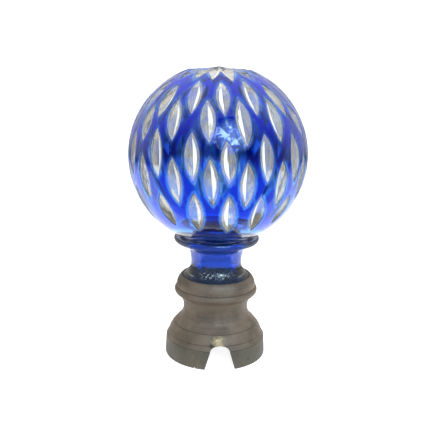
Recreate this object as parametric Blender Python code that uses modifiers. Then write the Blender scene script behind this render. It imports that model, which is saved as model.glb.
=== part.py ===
# Stair newel ball: a hollow ball of blue cased glass with rows of clear wheel cuts, standing in a turned
# brass base. Sizes are in millimetres here and are turned into metres by MM.
import math

import bmesh
import bpy
from mathutils import Matrix, Vector

MM = 0.001

# Facets
GLASS_STEPS = 48
BALL_RING_ANGLE = 10.0
HOLLOW_STEPS = 24
HOLLOW_RING_ANGLE = 16.0
BASE_STEPS = 36
CUTTER_RUN_OUT = 3.0

# Both patterns start from the same azimuth, counted from the front (-Y) towards +X
FRONT_AZIMUTH = 6.0

# Brass base: the height of each moulding from the floor up, and how far each steps in from the one below
BAND_HEIGHT = 12.2
BAND_STEP_HEIGHT = 2.9
BELL_HEIGHT = 6.2
FILLET_HEIGHT = 1.7
WAIST_HEIGHT = 17.3
BEAD_HEIGHT = 5.1
COLLAR_HEIGHT = 7.0
BASE_RADIUS = 32.2
BAND_TAPER = 0.6
BELL_SET_BACK = 1.65
BELL_SPREAD = 3.65
FILLET_SET_BACK = 1.4
WAIST_RADIUS = 20.5
BEAD_PROUD = 1.55
COLLAR_BOW = 0.9
BELL_BOW = 0.45
BAND_STEP_BOW = 0.15
BAND_CHAMFER = 0.5
BAND_CHAMFER_HEIGHT = 0.8

# Inside of the base: the seat of the glass above the deck, and the newel's socket below it
SEAT_DEPTH = 5.4
SEAT_CLEARANCE = 0.3
SEAT_SIDE_CLEARANCE = 0.35
LIP_WALL = 0.55
COLLAR_WALL = 3.55
COLLAR_TO_BEAD = 0.5
DECK_THICKNESS = 2.5
SOCKET_WALL = 3.2
SOCKET_DEPTH = 11.0
SOCKET_WAIST_WALL = 2.7
SOCKET_WAIST_RISE = 6.0
SOCKET_HEAD_WALL = 4.0
SOCKET_HEAD_DROP = 4.8

# Notch in the base's foot
NOTCH_SPRING_Z = 11.3
NOTCH_RISE = 4.0
NOTCH_WIDTH = 12.4
NOTCH_FOOT_WIDTH = 19.0
NOTCH_ARCH_SEGMENTS = 8

# Foot, neck and collar of the glass, from its bore outwards and from the base's lip up
BORE_RADIUS = 10.0
NECK_WALL = 6.05
FOOT_FLARE = 5.15
FOOT_FLARE_BOW = 1.35
NECK_WAIST_RISE = 8.9
NECK_TOP_RISE = 17.2
NECK_TOP_FLARE = 1.55
NECK_BOW = 0.3
COLLAR_RISE = 25.9
COLLAR_REACH = 9.2
COLLAR_THICKNESS = 3.4
COLLAR_NOSE = 0.6
COLLAR_UNDER_BOW = 1.1
COLLAR_DISH = 0.5
COLLAR_FALL = 0.8
BALL_JOIN_FLARE = 1.4
THROAT_FLARE = 6.5
THROAT_LENGTH = 6.0
THROAT_BOW = 0.6

# Ball
BALL_RADIUS = 55.0
BALL_WALL = 6.0

# Wheel cuts, with the tips of each row's cuts as latitudes in degrees
CUTS_PER_ROW = 15
WHEEL_HALF_ANGLE = 61.0
CROWN_WHEEL_HALF_ANGLE = 50.0
CUTTER_RISE = 0.4
CUTTER_STATIONS = 4
CUT_PITCH = 360.0 / CUTS_PER_ROW
# Each row: name, columns by which it is turned, lower tip, upper tip, width and angle of the wheel's rim
CUT_ROWS = (
    ("crown", 0.5, 58.5, 93.5, 8.8, CROWN_WHEEL_HALF_ANGLE),
    ("upper", 0.0, 31.2, 59.6, 9.0, WHEEL_HALF_ANGLE),
    ("high_middle", 0.5, 14.6, 44.2, 9.6, WHEEL_HALF_ANGLE),
    ("middle", 0.0, -8.8, 21.5, 9.8, WHEEL_HALF_ANGLE),
    ("low_middle", 0.5, -23.5, 6.5, 9.8, WHEEL_HALF_ANGLE),
    ("lower", 0.0, -45.0, -14.5, 9.6, WHEEL_HALF_ANGLE),
)

# Values that follow from those above: the base's heights and radii
BAND_TOP_RADIUS = BASE_RADIUS - BAND_TAPER
BELL_FOOT_RADIUS = BAND_TOP_RADIUS - BELL_SET_BACK
BELL_TOP_RADIUS = BELL_FOOT_RADIUS - BELL_SPREAD
WAIST_FOOT_RADIUS = BELL_TOP_RADIUS - FILLET_SET_BACK
BELL_FOOT_Z = BAND_HEIGHT + BAND_STEP_HEIGHT
BELL_TOP_Z = BELL_FOOT_Z + BELL_HEIGHT
WAIST_FOOT_Z = BELL_TOP_Z + FILLET_HEIGHT
BEAD_FOOT_Z = WAIST_FOOT_Z + WAIST_HEIGHT
COLLAR_FOOT_Z = BEAD_FOOT_Z + BEAD_HEIGHT
BASE_HEIGHT = COLLAR_FOOT_Z + COLLAR_HEIGHT
DECK_TOP_Z = BASE_HEIGHT - SEAT_DEPTH
DECK_UNDER_Z = DECK_TOP_Z - DECK_THICKNESS
NECK_RADIUS = BORE_RADIUS + NECK_WALL
FOOT_RADIUS = NECK_RADIUS + FOOT_FLARE
SEAT_RADIUS = FOOT_RADIUS + SEAT_SIDE_CLEARANCE
COLLAR_FOOT_RADIUS = SEAT_RADIUS + COLLAR_WALL
BEAD_FOOT_RADIUS = COLLAR_FOOT_RADIUS - COLLAR_TO_BEAD
WAIST_BOW = (BEAD_FOOT_RADIUS + WAIST_FOOT_RADIUS) / 2 - WAIST_RADIUS
SOCKET_RADIUS = BASE_RADIUS - SOCKET_WALL
SOCKET_WAIST_RADIUS = WAIST_RADIUS - SOCKET_WAIST_WALL
SOCKET_HEAD_RADIUS = BEAD_FOOT_RADIUS - SOCKET_HEAD_WALL

# Values that follow for the glass
FOOT_BOTTOM_Z = DECK_TOP_Z + SEAT_CLEARANCE
NECK_TOP_RADIUS = NECK_RADIUS + NECK_TOP_FLARE
COLLAR_RADIUS = NECK_TOP_RADIUS + COLLAR_REACH
COLLAR_TOP_Z = BASE_HEIGHT + COLLAR_RISE
COLLAR_JOIN_Z = COLLAR_TOP_Z - COLLAR_FALL
JOIN_RADIUS = NECK_TOP_RADIUS + BALL_JOIN_FLARE
BALL_CENTRE_Z = COLLAR_JOIN_Z + math.sqrt(BALL_RADIUS * BALL_RADIUS - JOIN_RADIUS * JOIN_RADIUS)
HOLLOW_RADIUS = BALL_RADIUS - BALL_WALL
THROAT_RADIUS = BORE_RADIUS + THROAT_FLARE


def on_ball(radius, latitude):
    """The (r, z) point of a sphere round the ball's centre at a latitude in degrees."""
    angle = math.radians(latitude)
    return radius * math.cos(angle), BALL_CENTRE_Z + radius * math.sin(angle)


def arc_of_ball(radius, top, bottom, step):
    """Points down a sphere from one latitude to another, in even steps near the one given."""
    count = max(2, round((top - bottom) / step))
    return [on_ball(radius, top + (bottom - top) * i / count) for i in range(count + 1)]


def bow(start, end, rise, count):
    """Points after start, up to end, of an arc that stands rise off its chord, outwards where it is positive."""
    chord = Vector(end) - Vector(start)
    along = chord.normalized()
    outward = Vector((-along.y, along.x)) * (1 if rise > 0 else -1)
    half_angle = 2 * math.atan(2 * abs(rise) / chord.length)
    radius = chord.length / 2 / math.sin(half_angle)
    centre = (Vector(start) + Vector(end)) / 2 - outward * radius * math.cos(half_angle)
    found = []
    for i in range(1, count + 1):
        angle = half_angle * (2 * i / count - 1)
        point = centre + radius * (math.sin(angle) * along + math.cos(angle) * outward)
        found.append((point.x, point.y))
    return found


def clear_scene():
    for obj in list(bpy.data.objects):
        bpy.data.objects.remove(obj, do_unlink=True)


def make_material(name, colour, roughness, metallic, transmission=0.0):
    material = bpy.data.materials.new(name)
    material.use_nodes = True
    shader = material.node_tree.nodes["Principled BSDF"]
    shader.inputs["Base Color"].default_value = colour
    shader.inputs["Roughness"].default_value = roughness
    shader.inputs["Metallic"].default_value = metallic
    shader.inputs["Transmission Weight"].default_value = transmission
    return material


def add_mesh(name, vertices, faces, collection, edges=()):
    mesh = bpy.data.meshes.new(name)
    mesh.from_pydata(vertices, edges, faces)
    mesh.update()
    obj = bpy.data.objects.new(name, mesh)
    collection.objects.link(obj)
    return obj


def turned(name, profile, steps, collection):
    """A body turned round the Z axis from (r, z) points that run down its outer side."""
    vertices = [(r * MM, 0.0, z * MM) for r, z in profile]
    edges = [(i, i + 1) for i in range(len(profile) - 1)]
    obj = add_mesh(name, vertices, (), collection, edges)
    screw = obj.modifiers.new("turn", "SCREW")
    screw.axis = "Z"
    screw.angle = 2 * math.pi
    screw.steps = steps
    screw.render_steps = steps
    screw.use_merge_vertices = True
    screw.merge_threshold = 0.00001
    screw.use_smooth_shade = True
    return obj


def subtract(obj, cutter, name, overlapping=False):
    boolean = obj.modifiers.new(name, "BOOLEAN")
    boolean.operation = "DIFFERENCE"
    boolean.solver = "EXACT"
    boolean.object = cutter
    boolean.use_self = overlapping


def wheel_radius(depth, half_span):
    """Radius of the wheel whose rim dips to depth under the ball and leaves it half_span degrees away."""
    rest = BALL_RADIUS - depth
    reach = BALL_RADIUS * math.cos(math.radians(half_span))
    above = 2 * rest * reach - rest * rest - BALL_RADIUS * BALL_RADIUS
    return above / (2 * (rest - reach))


def cut_depth(width, slope):
    """Depth of a V cut that is this wide where it meets the ball."""
    drop = BALL_RADIUS - math.sqrt(BALL_RADIUS * BALL_RADIUS - width * width / 4)
    return width / 2 / slope + drop


def cutter_stations(depth, half_span):
    """Stations along one cutter: (along, height of the crease, height of the lid), from the ball's centre."""
    wheel = wheel_radius(depth, half_span)
    centre = BALL_RADIUS + wheel - depth
    end = BALL_RADIUS + CUTTER_RISE
    cosine = (centre * centre + wheel * wheel - end * end) / (2 * centre * wheel)
    end_angle = math.acos(cosine)
    found = []
    for i in range(CUTTER_STATIONS + 2):
        angle = end_angle * (2 * i / (CUTTER_STATIONS + 1) - 1)
        along = wheel * math.sin(angle)
        crease = centre - wheel * math.cos(angle)
        # The lid's point lies on the wheel's own radius through the crease, just outside the ball.
        towards = Vector((-math.sin(angle), math.cos(angle)))
        start = Vector((along, crease))
        middle = start.dot(towards)
        out = math.sqrt(max(0.0, middle * middle - start.length_squared + end * end)) - middle
        found.append((start, start + towards * out, max(0.0, out)))
    return found


def cutter_shape(width, half_span, slope):
    """Vertices and faces of one boat-shaped cutter, lying along X with Z out of the ball."""
    stations = cutter_stations(cut_depth(width, slope), half_span)
    first, last = stations[0][0], stations[-1][0]
    vertices = [(first.x, 0.0, first.y)]
    for crease, lid, rise in stations[1:-1]:
        half = rise * slope
        vertices.append((crease.x, 0.0, crease.y))
        vertices.append((lid.x, -half, lid.y))
        vertices.append((lid.x, half, lid.y))
    vertices.append((last.x, 0.0, last.y))
    end = len(vertices) - 1
    faces = [(0, 1, 2), (0, 3, 1), (0, 2, 3)]
    for i in range(CUTTER_STATIONS - 1):
        low, right, left = 3 * i + 1, 3 * i + 2, 3 * i + 3
        faces.append((low, low + 3, right + 3, right))
        faces.append((low, left, left + 3, low + 3))
        faces.append((right, right + 3, left + 3, left))
    low, right, left = end - 3, end - 2, end - 1
    faces += [(low, end, right), (low, left, end), (right, end, left)]
    return vertices, faces


def ring_of_cutters(row, collection):
    """One object holding a whole row of cutters, evenly spaced round the ball."""
    name, columns, bottom, top, width, half_angle = row
    shape, shape_faces = cutter_shape(width, (top - bottom) / 2, math.tan(math.radians(half_angle)))
    latitude = math.radians((top + bottom) / 2)
    # Local X becomes the way up the ball, and local Z becomes the way out of it.
    stand = Matrix(
        (
            (-math.sin(latitude), 0.0, math.cos(latitude)),
            (0.0, 1.0, 0.0),
            (math.cos(latitude), 0.0, math.sin(latitude)),
        )
    )
    if stand.determinant() < 0:
        stand = stand @ Matrix(((1, 0, 0), (0, -1, 0), (0, 0, 1)))
    vertices = []
    faces = []
    for i in range(CUTS_PER_ROW):
        turn = math.radians(FRONT_AZIMUTH - 90 + CUT_PITCH * (i + columns))
        place = Matrix.Rotation(turn, 3, "Z") @ stand
        start = len(vertices)
        for point in shape:
            found = place @ Vector(point)
            vertices.append((found.x * MM, found.y * MM, (found.z + BALL_CENTRE_Z) * MM))
        faces += [tuple(start + corner for corner in face) for face in shape_faces]
    cutter = add_mesh(name + "_cutters", vertices, faces, collection)
    make_outward(cutter)
    cutter.display_type = "WIRE"
    return cutter


def make_outward(obj):
    work = bmesh.new()
    work.from_mesh(obj.data)
    bmesh.ops.recalc_face_normals(work, faces=work.faces)
    work.to_mesh(obj.data)
    work.free()


def glass_profile():
    """Outer side of the glass, from the top of the ball to the middle of its foot."""
    join = -math.degrees(math.acos(JOIN_RADIUS / BALL_RADIUS))
    nose_top = (COLLAR_RADIUS - COLLAR_NOSE, COLLAR_TOP_Z)
    nose_foot = (COLLAR_RADIUS - COLLAR_NOSE, COLLAR_TOP_Z - COLLAR_THICKNESS)
    neck_top = (NECK_TOP_RADIUS, BASE_HEIGHT + NECK_TOP_RISE)
    waist = (NECK_RADIUS, BASE_HEIGHT + NECK_WAIST_RISE)
    foot = (FOOT_RADIUS, BASE_HEIGHT)
    profile = arc_of_ball(BALL_RADIUS, 90.0, join, BALL_RING_ANGLE)
    profile[0] = (0.0, profile[0][1])
    profile += bow(profile[-1], nose_top, -COLLAR_DISH, 2)
    profile += bow(nose_top, nose_foot, COLLAR_NOSE, 4)
    profile += bow(nose_foot, neck_top, -COLLAR_UNDER_BOW, 3)
    profile += bow(neck_top, waist, -NECK_BOW, 2)
    profile += bow(waist, foot, -FOOT_FLARE_BOW, 4)
    profile += [(FOOT_RADIUS, FOOT_BOTTOM_Z), (0.0, FOOT_BOTTOM_Z)]
    return profile


def hollow_profile():
    """The space inside the glass: the ball's hollow and the bore of the neck, run past the foot."""
    below = FOOT_BOTTOM_Z - CUTTER_RUN_OUT
    throat = -math.degrees(math.acos(THROAT_RADIUS / HOLLOW_RADIUS))
    profile = arc_of_ball(HOLLOW_RADIUS, 90.0, throat, HOLLOW_RING_ANGLE)
    profile[0] = (0.0, profile[0][1])
    profile += bow(profile[-1], (BORE_RADIUS, profile[-1][1] - THROAT_LENGTH), -THROAT_BOW, 2)
    profile += [(BORE_RADIUS, below), (0.0, below)]
    return profile


def base_profile():
    """The base from the middle of its deck, over the lip, down its mouldings and up inside its socket."""
    lip = (SEAT_RADIUS + LIP_WALL, BASE_HEIGHT)
    collar_foot = (COLLAR_FOOT_RADIUS, COLLAR_FOOT_Z)
    bead_foot = (BEAD_FOOT_RADIUS, BEAD_FOOT_Z)
    bell_top = (BELL_TOP_RADIUS, BELL_TOP_Z)
    bell_foot = (BELL_FOOT_RADIUS, BELL_FOOT_Z)
    profile = [(0.0, DECK_TOP_Z), (SEAT_RADIUS, DECK_TOP_Z), (SEAT_RADIUS, BASE_HEIGHT), lip]
    profile += bow(lip, collar_foot, COLLAR_BOW, 3)
    profile += bow(collar_foot, bead_foot, BEAD_PROUD, 4)
    profile += bow(bead_foot, (WAIST_FOOT_RADIUS, WAIST_FOOT_Z), -WAIST_BOW, 7)
    profile += [bell_top]
    profile += bow(bell_top, bell_foot, BELL_BOW, 3)
    profile += bow(bell_foot, (BAND_TOP_RADIUS, BAND_HEIGHT), -BAND_STEP_BOW, 2)
    profile += [(BASE_RADIUS, BAND_CHAMFER_HEIGHT), (BASE_RADIUS - BAND_CHAMFER, 0.0)]
    profile += [
        (SOCKET_RADIUS, 0.0),
        (SOCKET_RADIUS, SOCKET_DEPTH),
        (SOCKET_WAIST_RADIUS, WAIST_FOOT_Z + SOCKET_WAIST_RISE),
        (SOCKET_WAIST_RADIUS, BEAD_FOOT_Z - SOCKET_HEAD_DROP),
        (SOCKET_HEAD_RADIUS, BEAD_FOOT_Z),
        (SOCKET_HEAD_RADIUS, DECK_UNDER_Z),
        (0.0, DECK_UNDER_Z),
    ]
    return profile


def notch_cutter(collection):
    """A round-headed prism that opens the base's foot from its socket outwards."""
    half = NOTCH_WIDTH / 2
    outline = [(-NOTCH_FOOT_WIDTH / 2, -CUTTER_RUN_OUT), (-NOTCH_FOOT_WIDTH / 2, 0.0)]
    for i in range(NOTCH_ARCH_SEGMENTS + 1):
        angle = math.pi * i / NOTCH_ARCH_SEGMENTS
        outline.append((-half * math.cos(angle), NOTCH_SPRING_Z + NOTCH_RISE * math.sin(angle)))
    outline += [(NOTCH_FOOT_WIDTH / 2, 0.0), (NOTCH_FOOT_WIDTH / 2, -CUTTER_RUN_OUT)]
    count = len(outline)
    turn = Matrix.Rotation(math.radians(FRONT_AZIMUTH), 3, "Z")
    vertices = []
    for reach in (SOCKET_WAIST_RADIUS, BASE_RADIUS + CUTTER_RUN_OUT):
        for x, z in outline:
            found = turn @ Vector((x * MM, -reach * MM, z * MM))
            vertices.append(tuple(found))
    faces = [tuple(range(count)), tuple(range(2 * count - 1, count - 1, -1))]
    faces += [(i, i + count, (i + 1) % count + count, (i + 1) % count) for i in range(count)]
    cutter = add_mesh("notch_cutter", vertices, faces, collection)
    make_outward(cutter)
    cutter.display_type = "WIRE"
    return cutter


def build():
    clear_scene()
    scene = bpy.context.scene
    scene.unit_settings.system = "METRIC"
    scene.unit_settings.scale_length = 1.0
    parts = bpy.data.collections.new("newel_ball")
    helpers = bpy.data.collections.new("cutters")
    helpers.hide_render = True
    scene.collection.children.link(parts)
    scene.collection.children.link(helpers)

    glass = turned("glass_ball", glass_profile(), GLASS_STEPS, parts)
    hollow = turned("hollow_cutter", hollow_profile(), HOLLOW_STEPS, helpers)
    hollow.display_type = "WIRE"
    hollow.hide_render = True
    for row in CUT_ROWS:
        cutter = ring_of_cutters(row, helpers)
        cutter.hide_render = True
        subtract(glass, cutter, row[0], overlapping=row[0] == "crown")
    subtract(glass, hollow, "hollow")
    glass.data.materials.append(make_material("cased_glass", (0.03, 0.06, 0.62, 1.0), 0.03, 0.0, 1.0))

    base = turned("brass_base", base_profile(), BASE_STEPS, parts)
    notch = notch_cutter(helpers)
    notch.hide_render = True
    subtract(base, notch, "notch")
    base.data.materials.append(make_material("patinated_brass", (0.2, 0.16, 0.13, 1.0), 0.42, 1.0))


build()
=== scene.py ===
"""Stair newel ball: a hollow ball of blue cased glass with clear wheel cuts, in a turned brass base."""

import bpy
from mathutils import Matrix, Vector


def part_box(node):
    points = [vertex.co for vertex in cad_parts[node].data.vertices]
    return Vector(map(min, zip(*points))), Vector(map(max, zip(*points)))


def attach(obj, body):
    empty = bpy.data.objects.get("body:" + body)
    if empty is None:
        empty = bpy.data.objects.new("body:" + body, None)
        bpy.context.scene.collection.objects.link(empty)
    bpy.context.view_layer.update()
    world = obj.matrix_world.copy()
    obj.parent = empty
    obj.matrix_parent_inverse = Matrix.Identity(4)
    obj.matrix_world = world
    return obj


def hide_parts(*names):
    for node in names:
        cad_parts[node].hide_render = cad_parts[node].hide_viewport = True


bl_info = {
    "name": "Stair Newel Ball",
    "version": (1, 0, 0),
    "blender": (4, 5, 0),
    "location": "3D View > Sidebar > Newel Ball",
    "description": "Makes a cut glass ball, its brass base and a studio stage",
    "category": "Object",
}

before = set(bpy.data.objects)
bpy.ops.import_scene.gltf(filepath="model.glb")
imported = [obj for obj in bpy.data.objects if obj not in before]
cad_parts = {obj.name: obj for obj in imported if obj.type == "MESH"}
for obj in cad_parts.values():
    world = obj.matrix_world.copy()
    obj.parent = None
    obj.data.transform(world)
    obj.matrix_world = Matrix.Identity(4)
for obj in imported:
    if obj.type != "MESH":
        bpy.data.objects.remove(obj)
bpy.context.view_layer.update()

import math
import random
from types import SimpleNamespace

import bpy
from bpy.props import FloatProperty, FloatVectorProperty, IntProperty, PointerProperty
from bpy.types import Operator, Panel, PropertyGroup
from mathutils import Matrix, Vector

GLASS_FOOT_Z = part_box("glass_ball")[0].z
BASE_HIGH_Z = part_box("brass_base")[1].z

# Both patterns start from the same azimuth, counted from the front (-Y) towards +X
FRONT_AZIMUTH = 6.0

# Facets of the fine meshes
GLASS_STEPS = 160
BALL_RINGS = 76
HOLLOW_RINGS = 44
BASE_STEPS = 144
CUTTER_STATIONS = 30
ON_AXIS = 1e-6

# Brass base: the height of each moulding from the floor up, and how far each steps in
BAND_HEIGHT = 0.0122
BAND_STEP_HEIGHT = 0.0029
BELL_HEIGHT = 0.0062
FILLET_HEIGHT = 0.0017
WAIST_HEIGHT = 0.0173
BEAD_HEIGHT = 0.0051
BAND_TAPER = 0.0006
BELL_SET_BACK = 0.00165
BELL_SPREAD = 0.00365
FILLET_SET_BACK = 0.0014
BEAD_PROUD = 0.00155
COLLAR_BOW = 0.0009
BELL_BOW = 0.00045
BAND_STEP_BOW = 0.00015
BAND_CHAMFER = 0.0005
BAND_CHAMFER_HEIGHT = 0.0008
COLLAR_WALL = 0.00355
COLLAR_TO_BEAD = 0.0005
LIP_WALL = 0.00055
SEAT_DEPTH = 0.0054
SEAT_SIDE_CLEARANCE = 0.00035
DECK_THICKNESS = 0.0025
SOCKET_WALL = 0.0032
SOCKET_DEPTH = 0.011
SOCKET_WAIST_WALL = 0.0027
SOCKET_WAIST_RISE = 0.006
SOCKET_HEAD_WALL = 0.004
SOCKET_HEAD_DROP = 0.0048
EDGE_EASE = 0.00028
SHARP_EDGE = 35
BELL_FOOT_Z = BAND_HEIGHT + BAND_STEP_HEIGHT
BELL_TOP_Z = BELL_FOOT_Z + BELL_HEIGHT
WAIST_FOOT_Z = BELL_TOP_Z + FILLET_HEIGHT
BEAD_FOOT_Z = WAIST_FOOT_Z + WAIST_HEIGHT

# Wear on the front of the base, as x and z, and the nick in its rim
TURNED_LINES = (BAND_HEIGHT - 0.0003, BELL_FOOT_Z, 0.0212, BEAD_FOOT_Z + 0.0013, 0.0452)
TURNED_LINE_WIDTH = 0.0004
RUBBED_PLACE = (0.0022, 0.0176)
PIT_PLACE = (-0.0021, 0.0152)
MARK_PLACE = (0.0210, 0.0046)
NICK_AZIMUTH = -23.0577
NICK_REACH = (0.02574, 0.03539)
NICK_OUTLINE = ((-0.0014, -0.0014), (0.0, 0.00168), (0.0014, -0.0014))

NOTCH_SPRING_Z = 0.0113
NOTCH_RUN_OUT = 0.003
NOTCH_ARCH_STEPS = 24

# Foot, neck and collar of the glass, from the base's lip up
FOOT_FLARE_BOW = 0.00135
NECK_WAIST_RISE = 0.0089
NECK_TOP_RISE = 0.0172
NECK_TOP_FLARE = 0.00155
NECK_BOW = 0.0003
COLLAR_RISE = 0.0259
COLLAR_NOSE = 0.0006
COLLAR_THICKNESS = 0.0034
COLLAR_UNDER_BOW = 0.0011
COLLAR_DISH = 0.0005
COLLAR_FALL = 0.0008
BALL_JOIN_FLARE = 0.0014
THROAT_FLARE = 0.0065
THROAT_LENGTH = 0.006
THROAT_BOW = 0.0006
LINING_DEPTH = 0.0003
LINING_THICKNESS = 0.0006
CUTTER_RISE = 0.0004

# Tests of the glass's faces: cosines to the ball's radius, and lengths
NEAR_CUT = 0.93
SKIN_FACING = 0.97
HOLLOW_FACING = 0.9
FLANK_FACING = 0.3
SHELL_GAP = 0.001
ON_SKIN = 0.0002

# Casing: the skin's full colour, the painted halo round each cut, where the casing is thinned and veiled
# azure, and the hem under the lower row
CUT_DISTANCE = "cut_distance"
FAR_FROM_CUTS = 0.01
CASING_SKIN = 0.00003
HALO_RING = 0.0018
HEM_TILT = 0.19
HEM_HEIGHTS = (-0.87, -0.79)
GLASS_IOR = 1.52
WHITE = (1.0, 1.0, 1.0)
BLACK = (0.0, 0.0, 0.0)

# Stage: the paper's edges across, its rows going back and its bend; the shell; the sky by height
FLOOR_EDGES = (-3.0, -0.5, 0.5, 3.0)
FLOOR_ROWS = (-1.5, -0.3, -0.036, 0.25, 1.6)
FLOOR_CELL = (2, 1)
APRON_CELL = (1, 1)
BACKDROP_BEND = 0.5
BACKDROP_TOP = 2.4
BEND_STEPS = 12
SURROUND = 8.0
GLOW_PLACE = (0.34, -0.98, 0.76)
GLOW_SIZE = (1.3, 1.05)
GLOW_COLOUR = (0.5, 0.78, 1.0)
WARM = (1.0, 0.95, 0.86)
BOUNCES = 24
SKY_BEHIND = (
    (0.0, 1.3, 1.3, 1.3), (0.38, 1.25, 1.25, 1.25), (0.402, 0.75, 0.75, 0.75), (0.415, 0.22, 0.22, 0.23),
    (0.425, 0.12, 0.12, 0.13), (0.437, 0.40, 0.38, 0.35), (0.47, 0.74, 0.70, 0.61), (0.62, 1.0, 0.96, 0.86),
    (0.82, 1.1, 1.09, 1.05), (1.0, 1.3, 1.3, 1.3),
)
SKY_IN_FRONT = (
    (0.0, 0.30, 0.30, 0.30), (0.40, 0.16, 0.16, 0.16), (0.50, 0.10, 0.10, 0.10), (0.68, 0.12, 0.12, 0.13),
    (0.85, 0.6, 0.6, 0.62), (1.0, 1.0, 1.0, 1.0),
)

# Each row of wheel cuts: name, columns by which it is turned, lower tip, upper tip and width
CUT_ROWS = (
    ("crown", 0.5, 58.5, 93.5, 0.0088),
    ("upper", 0.0, 31.2, 59.6, 0.0090),
    ("high_middle", 0.5, 14.6, 44.2, 0.0096),
    ("middle", 0.0, -8.8, 21.5, 0.0098),
    ("low_middle", 0.5, -23.5, 6.5, 0.0098),
    ("lower", 0.0, -45.0, -14.5, 0.0096),
)
# The cutter's hand at the front: column, then azimuth and latitude of the lower and of the upper tip
HAND_CUTS = {
    "crown": {-1: (-8.1, 59.1, -6.0, 93.5), 0: (15.3, 57.4, 17.0, 93.5)},
    "upper": {
        -2: (-45.4, 28.2, -45.8, 54.5), -1: (-19.2, 32.0, -22.9, 59.7), 0: (4.3, 31.4, 1.6, 58.8),
        1: (27.6, 31.1, 28.5, 60.3), 2: (54.8, 29.5, 50.2, 56.4),
    },
    "high_middle": {
        -3: (-53.7, 12.5, -57.5, 38.0), -2: (-29.1, 15.2, -33.9, 43.5), -1: (-5.3, 15.2, -9.4, 43.8),
        0: (17.5, 13.2, 15.6, 44.1), 1: (41.8, 14.4, 42.1, 44.9), 2: (70.4, 15.9, 63.6, 38.2),
    },
    "middle": {
        -2: (-37.6, -7.1, -42.4, 23.5), -1: (-14.2, -7.9, -16.7, 23.0), 0: (7.4, -9.1, 5.0, 18.5),
        1: (30.7, -9.1, 29.6, 21.9), 2: (54.9, -11.6, 54.2, 20.7),
    },
    "low_middle": {
        -3: (-49.0, -23.1, -52.8, 6.7), -2: (-24.8, -22.6, -27.8, 7.3), -1: (-2.4, -22.3, -4.7, 8.1),
        0: (18.3, -24.1, 17.6, 5.8), 1: (42.8, -25.5, 41.9, 4.7),
    },
    "lower": {
        -2: (-35.4, -42.0, -38.4, -15.7), -1: (-14.8, -44.1, -14.1, -12.9), 0: (9.2, -45.5, 7.1, -14.1),
        1: (30.4, -45.2, 28.2, -15.2), 2: (50.8, -41.7, 53.7, -17.4),
    },
}
HAND_SEED = 11
HAND_TURN = 1.1
HAND_SHIFT = 0.9


def metres(name, description, default):
    return FloatProperty(name=name, description=description, default=default, unit="LENGTH")


def degrees(name, description, turn):
    return FloatProperty(name=name, description=description, default=math.radians(turn), subtype="ANGLE")


def tint(name, description, default):
    return FloatVectorProperty(name=name, description=description, default=default, subtype="COLOR", size=3)


class GlassSizes(PropertyGroup):
    """Sizes of the cut glass."""

    ball_radius: metres("Ball radius", "Outer radius of the ball", 0.055)
    ball_wall: metres("Ball wall", "Thickness of the ball's glass", 0.006)
    casing: metres("Casing", "Thickness of the blue layer", 0.00058)
    cuts_per_row: IntProperty(name="Cuts in a row", description="Cuts round the ball", default=15, min=6)
    wheel_angle: degrees("Wheel angle", "From the wheel's middle plane to a flank", 61)
    crown_wheel_angle: degrees("Crown wheel angle", "The same angle in the crown", 50)
    bore_radius: metres("Bore radius", "Radius of the passage in the neck", 0.010)
    neck_radius: metres("Neck radius", "Radius of the neck's waist", 0.01605)
    foot_radius: metres("Foot radius", "Radius of the foot", 0.0212)
    collar_radius: metres("Collar radius", "Radius of the collar", 0.0268)


class BaseSizes(PropertyGroup):
    """Sizes of the brass base."""

    base_radius: metres("Base radius", "Radius of the band at the floor", 0.0322)
    waist_radius: metres("Waist radius", "Radius of the hollow waist", 0.0205)
    notch_width: metres("Notch width", "Width of the notch under its arch", 0.0124)
    notch_foot_width: metres("Notch foot width", "Width of the notch at the floor", 0.019)
    notch_rise: metres("Notch rise", "Height of the arch over its springing", 0.004)


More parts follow.
